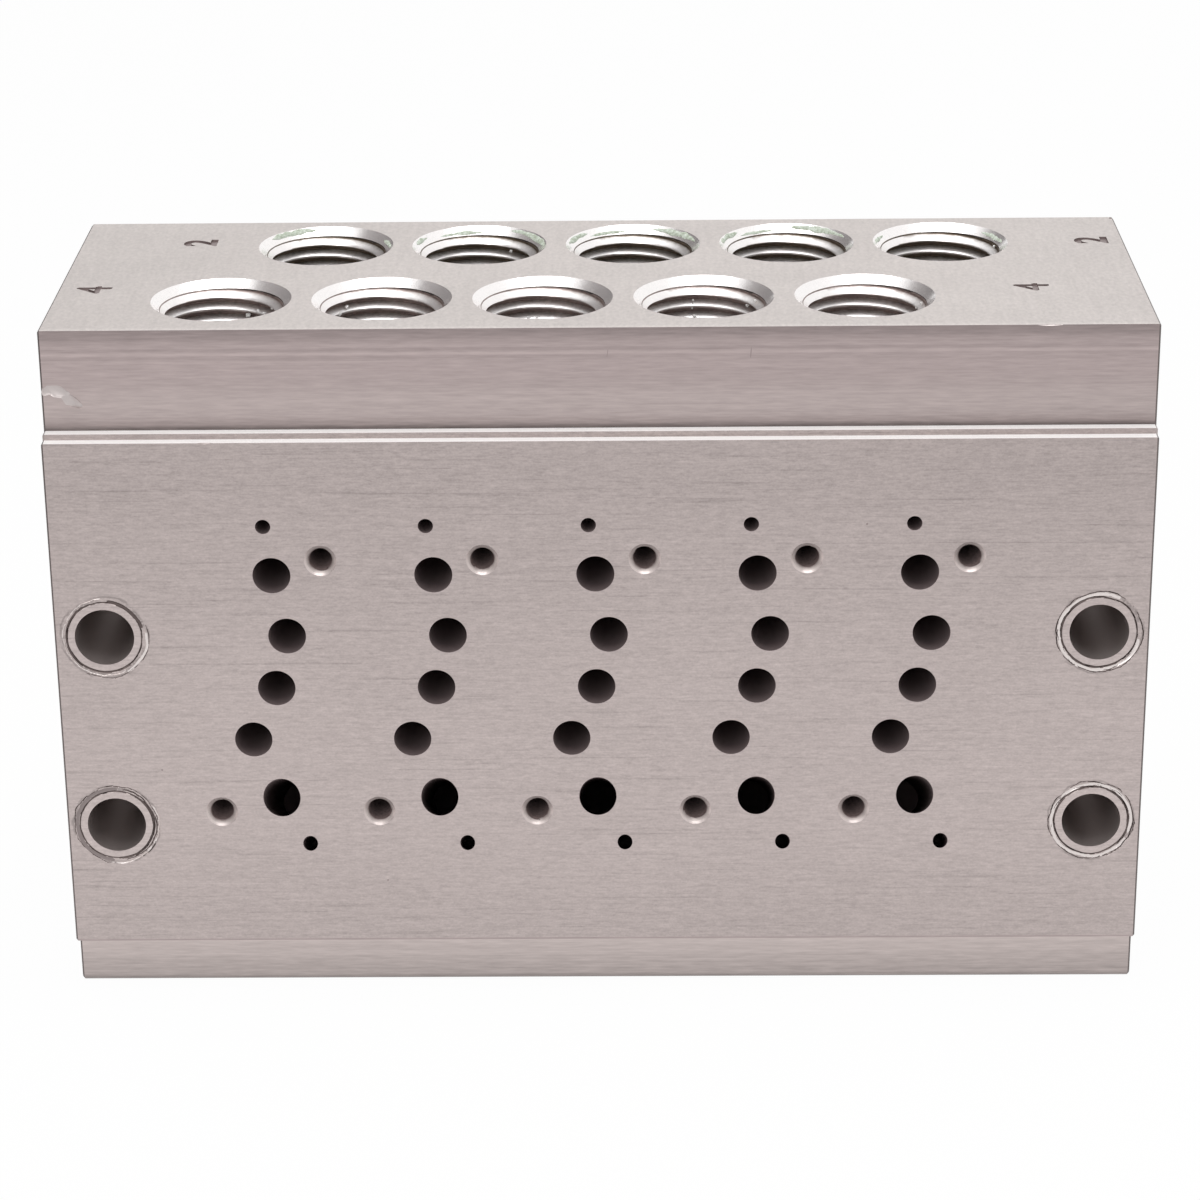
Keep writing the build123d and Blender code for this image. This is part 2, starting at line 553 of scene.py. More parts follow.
@dataclass(frozen=True)
class TurnedMetal:
    """Metal cut by a drill, a countersink or a tap."""

    name: str
    tone: Colour
    roughness: float
    metallic: float = 1.0

    def material(self) -> Material:
        """Make the finish."""
        g = Graph(self.name)
        rings = g.grain(g.place(), (3.0, 3.0, 3.0), rough=0.7)
        colour = g.shade(self.tone, 1.0 + (rings - 0.5) * 0.14)
        roughness = self.roughness + (rings - 0.5) * 0.12
        return g.metal(colour, roughness, g.relief(rings, 0.004), self.metallic)


@dataclass(frozen=True)
class CutThread:
    """Tapped metal: bright on its crests, with painted shade in its roots and under its ridges.

    The mesh says how deep a spot lies, which sets its painted shade: above 1 it is the painted
    shadow line along the countersink.
    """

    name: str
    tone: Colour = (0.93, 0.90, 0.89)
    painted_shade: Colour = (0.27, 0.212, 0.196)
    shadow_seam: Colour = (0.05, 0.04, 0.036)
    roughness: float = 0.30
    spread: float = 0.5
    metallic: float = 1.0

    def material(self) -> Material:
        """Make the finish."""
        g = Graph(self.name)
        spot = g.place()
        rings = g.grain(spot, (2.4, 2.4, 2.4), rough=0.7)
        patches = g.grain(spot, (0.8, 0.8, 0.8), (5, 3, 1), 4.0, 0.65)
        hollow = g.add("Attribute", {"attribute_name": "hollow"}).out("Fac")
        # Painted shade: roots and lower flanks darken by the mesh's hollow value, unevenly.
        cover = (hollow + (patches - 0.5) * self.spread).rise(0.12, 0.80)
        bright = g.shade(self.tone, 1.0 + (rings - 0.5) * 0.2)
        colour = g.blend(cover, bright, g.shade(self.painted_shade, 1.0 + (rings - 0.5) * 1.2))
        # Painted shadow: the near-black line along the countersink's lower edge.
        colour = g.blend(hollow.rise(1.0, 1.7), colour, self.shadow_seam)
        roughness = self.roughness + (rings - 0.5) * 0.12 + cover * 0.25
        return g.metal(colour, roughness, g.relief(rings, 0.006), self.metallic)


@dataclass(frozen=True)
class Residue:
    """Old thread sealant or dust."""

    name: str
    tone: Colour
    pale: Colour

    def material(self) -> Material:
        """Make the finish."""
        g = Graph(self.name)
        grit = g.grain(g.place(), (2.5, 2.5, 2.5), detail=5.0, rough=0.7)
        colour = g.blend(grit.rise(0.35, 0.68), self.tone, self.pale)
        return g.metal(colour, 0.6 + (grit - 0.5) * 0.2, g.relief(grit, 0.05), 0.0)


# ---------------- pieces


def to_mesh(name: str, bm: BMesh) -> Mesh:
    """A mesh made of a bmesh, which is freed."""
    mesh = bpy.data.meshes.new(name)
    bm.to_mesh(mesh)
    bm.free()
    return mesh


def add_object(name: str, data: ID) -> Object:
    """A new object in the scene."""
    added = bpy.data.objects.new(name, data)
    bpy.context.scene.collection.objects.link(added)
    return added


def join(whole: BMesh, part: BMesh) -> None:
    """Add one bmesh to another, and free it."""
    mesh = to_mesh("part", part)
    whole.from_mesh(mesh)
    bpy.data.meshes.remove(mesh)


def spin(bm: BMesh, degrees: float, steps: int, **more: object) -> None:
    """Sweep the edges of a bmesh about the Z axis.

    Args:
        bm: The bmesh.
        degrees: How far it turns.
        steps: In how many steps.
        more: Further settings of the operator.
    """
    bmesh.ops.spin(
        bm,
        geom=bm.verts[:] + bm.edges[:],
        cent=(0, 0, 0),
        axis=(0, 0, 1),
        angle=math.radians(degrees),
        steps=steps,
        **more,
    )


def move(bm: BMesh, matrix: Matrix) -> None:
    """Move everything in a bmesh by a matrix."""
    bmesh.ops.transform(bm, matrix=matrix, verts=bm.verts)


def weld(bm: BMesh, within: float) -> None:
    """Merge the points of a bmesh that lie within a distance of each other."""
    bmesh.ops.remove_doubles(bm, verts=bm.verts, dist=within)


def turned(degrees: float, axis: str) -> Matrix:
    """A rotation about an axis."""
    return Matrix.Rotation(math.radians(degrees), 4, axis)


def keep_piece(name: str, bm: BMesh, finishes: list[Material]) -> Object:
    """Turn a bmesh in millimetres into a piece that rides on the block.

    Args:
        name: The piece's name.
        bm: Its shape, which is freed.
        finishes: Its materials, in the order of its faces' material numbers.

    Returns:
        The object.
    """
    for edge in bm.edges:
        alike = len({face.material_index for face in edge.link_faces}) == 1
        edge.smooth = alike and edge.is_manifold and edge.calc_face_angle(0.0) < SHARP
    for face in bm.faces:
        face.smooth = True
    bmesh.ops.scale(bm, vec=(MM, MM, MM), verts=bm.verts)
    piece = add_object(name, to_mesh(name, bm))
    for finish in finishes:
        piece.data.materials.append(finish)
    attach(piece, BODY)
    log.info("%s: %d faces", name, len(piece.data.polygons))
    return piece


@dataclass
class Tap:
    """A tapped hole's thread: the ridge between its core and its major radius.

    The seat is how far the outer wall stands in the metal, the runout how steeply the
    ridge fades at the bottom, and the shadow_seam the share of the countersink's width that its
    painted shadow line takes. A tap with whole_sink covers its countersink down to the core.
    """

    major: float
    core: float
    pitch: float
    depth: float
    sink: float
    flank: float = 30.0
    steps: int = 72
    seat: float = 0.03
    runout: float = 0.8
    shadow_seam: float = 0.17
    least_painted_shade: float = 0.0
    whole_sink: bool = False

    @property
    def sink_depth(self) -> float:
        """How deep the countersink goes."""
        return self.sink - self.major

    def turn(self) -> list[Point]:
        """The points of one pitch: radius, height and how much painted shade each one gets."""
        run = (self.major - self.core) * math.tan(math.radians(self.flank))
        flat = (self.pitch - 2 * run) / 2
        soft = 0.12 * (self.major - self.core)
        root = self.major - self.seat
        near, far = flat / 4, flat / 2 + 0.1 * run
        half = self.pitch / 2
        return [
            (self.core + soft, -far, 0.75),
            (self.core, -near, 0.45),
            (self.core, near, 0.1),
            (self.core + soft, far, 0.0),
            (root - soft, half - far, 0.55),
            (root, half - near, 0.9),
            (root, half + near, 1.0),
            (root - soft, half + far, 1.0),
        ]

    def shape(self, phase: float) -> BMesh:
        """The thread as a closed sleeve whose mouth is at the origin, down the -Z axis.

        Args:
            phase: The angle in degrees at which a crest starts.

        Returns:
            The sleeve, in millimetres.
        """
        bm = bmesh.new()
        hollow = bm.verts.layers.float.new("hollow")
        turns = math.ceil(self.depth / self.pitch) + 2
        points = []
        for k in range(turns):
            for radius, height, painted_shade in self.turn():
                lift = self.pitch * (k - 1.5) - self.depth
                points.append(bm.verts.new((radius, 0.0, height + lift)))
                points[-1][hollow] = painted_shade
        for low, high in zip(points, points[1:]):
            bm.edges.new((low, high))
        spin(bm, 360, self.steps, dvec=(0, 0, self.pitch / self.steps))
        weld(bm, 0.002)
        self._trim(bm)
        self._close(bm)
        move(bm, turned(phase, "Z"))
        return bm

    def _trim(self, bm: BMesh) -> None:
        """Cut the ridge off along the countersink, let it run out at the bottom, and set where the
        painted shade falls.
        """
        top = -self.sink_depth
        hollow = bm.verts.layers.float["hollow"]
        for vert in bm.verts:
            radius = vert.co.xy.length
            height = min(max(vert.co.z, -self.depth), top)
            runout = self.core + max(0.0, height + self.depth - 0.02) * self.runout
            cone = self.sink + height
            wanted = max(min(radius, runout), cone)
            if self.whole_sink and cone > self.core:
                wanted = cone
            # Painted shade: the small countersink darkens towards the core, the cut cone stays
            # light, and the rest gets at least the least painted shade.
            if self.whole_sink and cone > self.core - 0.05:
                vert[hollow] = 0.62 - 0.5 * (cone - self.core) / (self.major - self.core)
            elif wanted > radius + 0.01:
                vert[hollow] = min(vert[hollow], 0.1)
            else:
                vert[hollow] = max(vert[hollow], self.least_painted_shade)
            vert.co.xy *= wanted / radius
            vert.co.z = height
        weld(bm, 0.002)
        bmesh.ops.dissolve_degenerate(bm, edges=bm.edges, dist=0.001)
        if self.whole_sink:
            return
        shadow_seam = top - self.shadow_seam * self.sink_depth
        bmesh.ops.bisect_plane(
            bm,
            geom=bm.verts[:] + bm.edges[:] + bm.faces[:],
            dist=0.001,
            plane_co=(0, 0, shadow_seam),
            plane_no=(0, 0, 1),
        )
        # Painted shadow under the countersink, stronger towards +X.
        for vert in bm.verts:
            if vert.co.z > shadow_seam + 0.002:
                vert[hollow] = 1.55 + 0.35 * vert.co.x / vert.co.xy.length

    def _close(self, bm: BMesh) -> None:
        """Give the sleeve an outer wall, a hair inside the metal round it."""
        rim = [e for e in bm.edges if e.is_boundary]
        low = [e for e in rim if e.verts[0].co.z < -self.depth / 2]
        high = [e for e in rim if e.verts[0].co.z >= -self.depth / 2]
        new = bmesh.ops.extrude_edge_only(bm, edges=low)["geom"]
        outer = [v for v in new if isinstance(v, BMVert)]
        for vert in outer:
            vert.co.xy *= (self.major + self.seat) / vert.co.xy.length
        wall = [e for e in new if isinstance(e, BMEdge)]
        bmesh.ops.bridge_loops(bm, edges=wall + high)
        bmesh.ops.recalc_face_normals(bm, faces=bm.faces)


@dataclass
class ThreadSet:
    """All the tapped holes of one size, each turned by the drift against the last."""

    name: str
    tap: Tap
    mounts: list[tuple[Point, Point]]
    finish: Material
    phase: float = -6.0
    drift: float = 0.0

    def build(self) -> Object:
        """Make every thread of the set as one piece."""
        whole = bmesh.new()
        for number, (mouth, axis) in enumerate(self.mounts):
            sleeve = self.tap.shape(self.phase + number * self.drift)
            turn = Vector((0, 0, 1)).rotation_difference(Vector(axis)).to_matrix().to_4x4()
            move(sleeve, Matrix.Translation(Vector(mouth)) @ turn)
            join(whole, sleeve)
        return keep_piece(self.name, whole, [self.finish])


@dataclass
class Smears:
    """Old sealant that was squeezed out on the countersinks of the pipe threads.

    Each smear is the middle of a port's mouth, the angles where it starts and ends, its
    radius round the port and its width.
    """

    name: str
    finish: Material
    smears: list[tuple[Point, float, float, float, float]]
    sink: float
    proud: float = 0.02

    def build(self) -> Object:
        """Make every smear as one piece."""
        whole = bmesh.new()
        for number, (mouth, start, end, radius, width) in enumerate(self.smears):
            bm = bmesh.new()
            bmesh.ops.create_circle(bm, segments=10, radius=1.0)
            height = radius - self.sink + self.proud
            squash = Matrix.Diagonal((width, 0.3 * width, 1.0, 1.0))
            stand = Matrix.Translation((radius, 0, height)) @ turned(90, "X")
            move(bm, stand @ turned(45, "Z") @ squash)
            move(bm, turned(start, "Z"))
            spin(bm, end - start, max(6, int(abs(end - start) / 3)))
            weld(bm, 0.0005)
            bmesh.ops.holes_fill(bm, edges=[e for e in bm.edges if e.is_boundary], sides=12)
            for vert in bm.verts:
                angle = math.degrees(math.atan2(vert.co.y, vert.co.x)) % 360
                share = min(1.0, max(0.0, (angle - start) / (end - start)))
                way = vert.co.xy.normalized()
                core = Vector((way.x * radius, way.y * radius, height))
                lump = noise.noise(vert.co * 1.3 + Vector((number * 7.7, 0, 0)))
                swell = (0.12 + 0.88 * math.sin(math.pi * share) ** 0.6) * (1.0 + 0.9 * lump)
                vert.co = core + (vert.co - core) * max(0.08, swell)
                vert.co.z = min(vert.co.z, -0.01)
            bmesh.ops.recalc_face_normals(bm, faces=bm.faces)
            bmesh.ops.translate(bm, verts=bm.verts, vec=mouth)
            join(whole, bm)
        return keep_piece(self.name, whole, [self.finish])


@dataclass
class Crumbs:
    """Bits of dry sealant and swarf that lie in the threads."""

    name: str
    finish: Material
    bits: list[tuple[Point, float]]

    def build(self) -> Object:
        """Make every bit as one piece."""
        bm = bmesh.new()
        for at, size in self.bits:
            lump = bmesh.ops.create_icosphere(
                bm, subdivisions=2, radius=size, matrix=Matrix.Translation(at)
            )["verts"]
            for vert in lump:
                vert.co += noise.noise_vector(vert.co * (0.9 / size)) * size * 0.7
        return keep_piece(self.name, bm, [self.finish])


class Mark:
    """A mark with one finish that is cut out of the block."""

    kind: Face

    @property
    def kinds(self) -> tuple[Face, ...]:
        """The finishes of the cut."""
        return (self.kind,)


@dataclass
class Stamp(Mark):
    """A plain port number stamped into the top face."""

    text: str
    at: tuple[float, float]
    level: float
    size: float = 4.9
    depth: float = 0.22
    bold: float = 0.17
    turn: float = 90.0
    kind: Face = Face.STAMPED

    def cutter(self) -> Object:
        """The body to cut away from the block, in millimetres."""
        curve = bpy.data.curves.new("stamp", "FONT")
        curve.body = self.text
        curve.size = self.size
        curve.extrude = self.depth
        curve.offset = self.bold
        curve.align_x = "CENTER"
        curve.align_y = "CENTER"
        curve.resolution_u = 4
        source = add_object("stamp", curve)
        graph = bpy.context.evaluated_depsgraph_get()
        outline = bpy.data.meshes.new_from_object(source.evaluated_get(graph))
        bpy.data.objects.remove(source)
        bm = bmesh.new()
        bm.from_mesh(outline)
        weld(bm, 0.0005)
        bmesh.ops.recalc_face_normals(bm, faces=bm.faces)
        move(bm, Matrix.Translation((*self.at, self.level)) @ turned(self.turn, "Z"))
        return add_object("stamp_cutter", to_mesh("stamp", bm))


@dataclass(frozen=True)
class Groove:
    """A ring, or an arc of one, that a washer's edge has pressed into the valve face.

    The arc's angles are counter-clockwise from +X as the face is seen from the front.
    """

    radius: float
    depth: float
    half_width: float
    wobble: float
    kind: Face
    arc: tuple[float, float] = (0.0, 360.0)
    uneven: float = 1.5

    def press(self, radius: float, angle: float, seed: float) -> float:
        """How deep the groove is at a point.

        Args:
            radius: The point's distance from the hole's axis.
            angle: Its angle in degrees.
            seed: The number of the groove's random draw.

        Returns:
            The depth, which is 0 beside the groove.
        """
        way = Vector((math.cos(math.radians(angle)), math.sin(math.radians(angle)), 0.0))
        broad = noise.noise(way * 1.7 + Vector((0, 0, seed)))
        sharp = noise.noise(way * 8.0 + Vector((0, 0, seed + 40)))
        middle = self.radius + self.wobble * (
            noise.noise(way * 2.1 + Vector((9, 9, seed))) + 0.35 * sharp
        )
        share = 1.0 - ((radius - middle) / self.half_width) ** 2
        strength = 0.85 + self.uneven * (broad + 0.5 * sharp)
        start, end = self.arc
        if end - start < 360:
            turned = (angle - start) % 360
            strength = min(strength, min(turned, end - start - turned) / 9.0)
        return self.depth * max(0.0, share) * min(max(0.0, strength), 1.4)


@dataclass
class Imprint:
    """The marks that a washer has left round one mounting hole, cut in one go.

    The skin is taken off everywhere, and what is shallower than the least keeps the
    finish of the pad.
    """

    at: Point
    grooves: list[Groove]
    seed: int
    inner: float = 3.6
    outer: float = 5.1
    rings: int = 34
    steps: int = 220
    skin: float = 0.004
    least: float = 0.012
    kinds: tuple[Face, ...] = (Face.PAD, Face.PRESSED, Face.BRUISED, Face.RUBBED)

    def _deepest(self, spot: Vector) -> tuple[float, Face]:
        """The depth at a point and the kind of the groove that it comes from."""
        radius = spot.xy.length
        angle = math.degrees(math.atan2(spot.y, spot.x))
        best = (0.0, Face.PAD)
        for number, groove in enumerate(self.grooves):
            depth = groove.press(radius, angle, self.seed * 13.7 + number * 5.3)
            if depth > best[0]:
                best = (depth, groove.kind)
        return best

    def cutter(self) -> Object:
        """The body to cut away from the block, in millimetres."""
        bm = bmesh.new()
        step = (self.outer - self.inner) / self.rings
        row = [bm.verts.new((self.inner + step * k, 0.0, 0.0)) for k in range(self.rings + 1)]
        row += [bm.verts.new((radius, 0.0, 0.5)) for radius in (self.outer, self.inner)]
        for pair in zip(row, row[1:] + row[:1]):
            bm.edges.new(pair)
        spin(bm, 360, self.steps, use_merge=True)
        weld(bm, 0.001)
        bmesh.ops.recalc_face_normals(bm, faces=bm.faces)
        for face in bm.faces:
            middle = face.calc_center_median()
            depth, kind = self._deepest(middle)
            if middle.z < 0.1 and depth > self.least:
                face.material_index = self.kinds.index(kind)
        for vert in bm.verts:
            if vert.co.z < 0.1:
                vert.co.z = -self.skin - self._deepest(vert.co)[0]
        move(bm, Matrix.Translation(self.at) @ turned(90, "X"))
        return add_object("imprint_cutter", to_mesh("imprint", bm))


@dataclass
class Chip(Mark):
    """A dent with facets, cut by an uneven lump."""

    at: Point
    size: Point
    turned: Point
    seed: int
    uneven: float
    kind: Face = Face.FRESH

    def cutter(self) -> Object:
        """The body to cut away from the block, in millimetres."""
        bm = bmesh.new()
        bmesh.ops.create_icosphere(bm, subdivisions=1, radius=1.0)
        for vert in bm.verts:
            drift = noise.noise_vector(vert.co * 1.7 + Vector((self.seed * 3.1, 0, 0)))
            vert.co += drift * self.uneven
        place = Matrix.Translation(self.at)
        for angle, axis in zip(self.turned, "XYZ"):
            place = place @ turned(angle, axis)
        move(bm, place @ Matrix.Diagonal((*self.size, 1.0)))
        return add_object("chip_cutter", to_mesh("chip", bm))


@dataclass
class Block:
    """The aluminium bar itself, with its marks of use.

    A face is told from the others by where it lies: near is how close to a plane it has to
    be, and slack the room that a fillet or a hole gets.
    """

    half_length: float
    height: float
    front: float
    back: float
    pad_proud: float = 2.3
    pad_bottom: float = 6.2
    pad_edge: float = 0.4
    foot_radius: float = 1.0
    edge_break: float = 0.2
    ledge_low: float = 64.25
    ledge_high: float = 64.87
    pipe_sink: float = 0.85
    screw_sink: float = 0.2
    near: float = 0.02
    slack: float = 0.1
    holes: ScrewHoles = ScrewHoles()
    marks: list[Stamp | Imprint | Chip] = field(default_factory=list)

    def build(self, finishes: dict[Face, Material]) -> Object:
        """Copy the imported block, cut its marks and give each face its finish.

        Args:
            finishes: The materials by kind of face.

        Returns:
            The piece that stands for the block.
        """
        bm = bmesh.new()
        bm.from_mesh(frame["nodes"][BLOCK].data)
        bmesh.ops.scale(bm, vec=(1 / MM, 1 / MM, 1 / MM), verts=bm.verts)
        weld(bm, 0.001)
        cut = self._cut_marks(to_mesh("plain_block", bm))
        bm = bmesh.new()
        bm.from_mesh(cut)
        order = list(Face)
        for layer in list(bm.loops.layers.float_vector.values()):
            bm.loops.layers.float_vector.remove(layer)
        for face in bm.faces:
            if face.material_index == 0:
                face.material_index = order.index(self.kind_of(face))
            else:
                face.material_index -= 1
        piece = keep_piece("manifold_body", bm, [finishes[kind] for kind in order])
        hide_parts(BLOCK)
        return piece

    def _cut_marks(self, plain: Mesh) -> Mesh:
        """Cut the marks out of the block.

        Args:
            plain: The block's mesh in millimetres.

        Returns:
            The cut mesh. Its material numbers are 0 on the old faces, and one more than
            the place of the mark's kind in Face on the cut ones.
        """
        order = list(Face)
        kinds = [kind for kind in Face if any(kind in mark.kinds for mark in self.marks)]
        labels = {kind: bpy.data.materials.new(kind.value) for kind in kinds}
        old = bpy.data.materials.new("old_metal")
        plain.materials.clear()
        plain.materials.append(old)
        for polygon in plain.polygons:
            polygon.material_index = 0
        block = add_object("plain_block", plain)
        cutters = []
        for mark in self.marks:
            cutter = mark.cutter()
            cutters.append(cutter)
            for kind in mark.kinds:
                cutter.data.materials.append(labels[kind])
            step = block.modifiers.new("cut", "BOOLEAN")
            step.operation = "DIFFERENCE"
            step.solver = "EXACT"
            step.material_mode = "TRANSFER"
            step.object = cutter
        graph = bpy.context.evaluated_depsgraph_get()
        result = bpy.data.meshes.new_from_object(block.evaluated_get(graph))
        numbers = [0] * len(result.materials)
        for slot, label in enumerate(result.materials):
            for kind, material in labels.items():
                if label == material:
                    numbers[slot] = order.index(kind) + 1
        for polygon in result.polygons:
            polygon.material_index = numbers[polygon.material_index]
        for item in [block, *cutters]:
            bpy.data.objects.remove(item)
        for label in [old, *labels.values()]:
            bpy.data.materials.remove(label)
        return result

    def kind_of(self, face: BMFace) -> Face:
        """Tell a face's kind from where it lies and where it looks.

        Args:
            face: A face of the block, in millimetres.

        Returns:
            Its kind.
        """
        at = face.calc_center_median()
        n = face.normal
        near = self.near
        step = self.front + self.pad_proud
        if abs(at.x) > self.half_length - near:
            return Face.END
        if abs(n.y) > 0.99 and at.y > self.back - near:
            return Face.SKIN
        if n.y < -0.99 and at.y < self.front + near:
            return Face.PAD
        if n.z > 0.99 and at.z > self.height - near:
            return Face.TOP
        if n.z < -0.99 and at.z < near:
            return Face.SKIN
        if abs(n.y) > 0.99 and abs(at.y - step) < near:
            return Face.BAND
        if at.y < step + near and self.ledge_low - near < at.z < self.ledge_high + near:
            return Face.LEDGE if n.z > 0.99 else Face.PAD
        if abs(at.x) > self.half_length - self.edge_break - near and self._is_outside(at):
            return Face.EDGE
        return self._kind_inside(at, n)

    def _is_outside(self, at: Vector) -> bool:
        """Whether a point of an end's edge is on the bar's outline and not in a hole."""
        margin = self.edge_break + self.slack
        depth = min(self.height - at.z, at.z, self.back - at.y)
        return depth < margin or at.y < self.front + self.pad_proud + margin

    def _kind_inside(self, at: Vector, n: Vector) -> Face:
        """Tell the kind of a face that is a fillet or lies in a hole."""
        slack = self.slack
        if at.z < self.foot_radius + slack:
            return Face.BAND if at.y < 0 else Face.SKIN
        at_pad_edge = -slack < at.z - self.pad_bottom < self.pad_edge + slack
        if at_pad_edge and at.y < self.front + self.pad_proud + slack:
            return Face.SKIN
        if at.y < self.front + self.screw_sink + slack and 0.5 < abs(n.y) < 0.9:
            return Face.SCREW_SINK
        if at.z > self.height - self.pipe_sink - slack and 0.5 < abs(n.z) < 0.9:
            return Face.SINK
        if abs(at.x) > self.half_length - self.pipe_sink - slack and 0.5 < abs(n.x) < 0.9:
            return Face.SINK
        if math.hypot(*self.holes.offsets(at.x, at.z)) < self.holes.radius + slack:
            return Face.BORE
        return Face.PASSAGE


# ---------------- the room


@dataclass
class Studio:
    """The pale floor, the soft light and the camera."""

    camera_at: Point = (4.727, -354.181, 186.322)
    camera_turn: Point = (69.2536, 0.5848, 0.5774)
    lens: float = 103.205
    shift: float = -0.1
    floor_tone: float = 0.9

    def build(self) -> None:
        """Make the floor, the lamps, the sky and the camera."""
        self._floor()
        self._flag()
        self._sky()
        self._lamp("top_light", (0.0, -60.0, 520.0), (0.0, 0.0, 40.0), 420.0, 1.25)
        self._lamp("front_light", (-260.0, -520.0, 300.0), (0.0, 0.0, 40.0), 380.0, 0.6)
        self._camera()

    def _floor(self) -> None:
        """A wide round floor that renders almost white and keeps the block's shadow."""
        bm = bmesh.new()
        bmesh.ops.create_circle(bm, cap_ends=True, segments=96, radius=6.0)
        g = Graph("pale_floor")
        paint = g.add("BsdfDiffuse", {}, {"Color": g.rgba((self.floor_tone,) * 3)})
        glow = g.add("Emission", {}, {"Color": (1, 1, 1, 1), "Strength": 1.0})
        mixed = g.add("MixShader", {}, {0: self._looked_at(g) * 0.97, 1: paint, 2: glow})
        floor = add_object("floor", to_mesh("floor", bm))
        floor.data.materials.append(g.close(mixed))

    def _looked_at(self, g: Graph) -> Wire:
        """1 for a ray from the camera, also by way of a reflection."""
        path = g.add("LightPath")
        seen = path.out("Is Camera Ray").most(path.out("Is Glossy Ray"))
        return seen.most(path.out("Is Transmission Ray"))

    def _sky(self) -> None:
        """An even white surround: dimmer as a light than it is to look at."""
        g = Graph("surround", world=True)
        soft = g.add("Background", {}, {"Color": (1, 1, 1, 1), "Strength": 0.62})
        white = g.add("Background", {}, {"Color": (1, 1, 1, 1), "Strength": 1.0})
        mixed = g.add("MixShader", {}, {0: self._looked_at(g), 1: soft, 2: white})
        bpy.context.scene.world = g.close(mixed)

    def _flag(self) -> None:
        """A dark board on the left, which the camera doesn't see but the metal mirrors."""
        bm = bmesh.new()
        bmesh.ops.create_grid(bm, x_segments=1, y_segments=1, size=0.5)
        size = Matrix.Diagonal((0.44, 1.0, 1.0, 1.0))
        place = Matrix.Translation((-0.30, 0.35, 0.22)) @ turned(90, "Y")
        move(bm, place @ size)
        g = Graph("dark_board")
        board = g.add("BsdfDiffuse", {}, {"Color": (0.36, 0.34, 0.34, 1.0)})
        clear = g.add("BsdfTransparent")
        path = g.add("LightPath").out("Is Camera Ray")
        flag = add_object("flag", to_mesh("flag", bm))
        flag.data.materials.append(g.close(g.add("MixShader", {}, {0: path, 1: board, 2: clear})))

    def _lamp(self, name: str, at: Point, aim: Point, size: float, watts: float) -> None:
        """A square soft lamp.

        Args:
            name: The lamp's name.
            at: Where it hangs, in millimetres.
            aim: The point it is turned to.
            size: The length of its sides.
            watts: Its power.
        """
        light = bpy.data.lights.new(name, "AREA")
        light.shape = "SQUARE"
        light.size = size * MM
        light.energy = watts
        lamp = add_object(name, light)
        lamp.location = Vector(at) * MM
        lamp.rotation_euler = (Vector(at) - Vector(aim)).to_track_quat("Z", "Y").to_euler()

    def _camera(self) -> None:
        """The camera, a little above the block and in front of it."""
        data = bpy.data.cameras.new("camera")
        data.lens = self.lens
        data.sensor_width = 36.0
        data.shift_y = self.shift
        data.clip_start = 0.01
        camera = add_object("camera", data)
        camera.location = Vector(self.camera_at) * MM
        camera.rotation_euler = [math.radians(a) for a in self.camera_turn]
        bpy.context.scene.camera = camera


# ---------------- building


def mouths(kinds: tuple[str, ...], sink: float) -> list[tuple[Point, Point]]:
    """The mouths of the tapped holes that the record states.

    Args:
        kinds: How the mounts' names start.
        sink: How far the countersink goes in beyond the stated wall.

    Returns:
        For each hole, the middle of its mouth in millimetres and the axis out of it.
    """
    found = []
    for mount in frame["record"]["mounts"]:
        if mount["name"].startswith(kinds) and mount["kind"] == "threaded_hole":
            axis = Vector(mount["axis"])
            out = mount["dims"]["length_mm"] / 2 + sink
            found.append((tuple(Vector(mount["pos_m"]) / MM + axis * out), tuple(axis)))
    return found


def screw_mouths(offset: Point = (5.86, 0, 14.55)) -> list[tuple[Point, Point]]:
    """The mouths of the valves' screw holes, two at each station.

    Args:
        offset: From the middle of a station to its upper screw.

    Returns:
        For each hole, the middle of its mouth in millimetres and the axis out of it.
    """
    found = []
    for mount in frame["record"]["mounts"]:
        if mount["name"].startswith("valve_screws"):
            at = Vector(mount["pos_m"]) / MM
            for side in (1, -1):
                found.append((tuple(at + Vector(offset) * side), (0, -1, 0)))
    return found


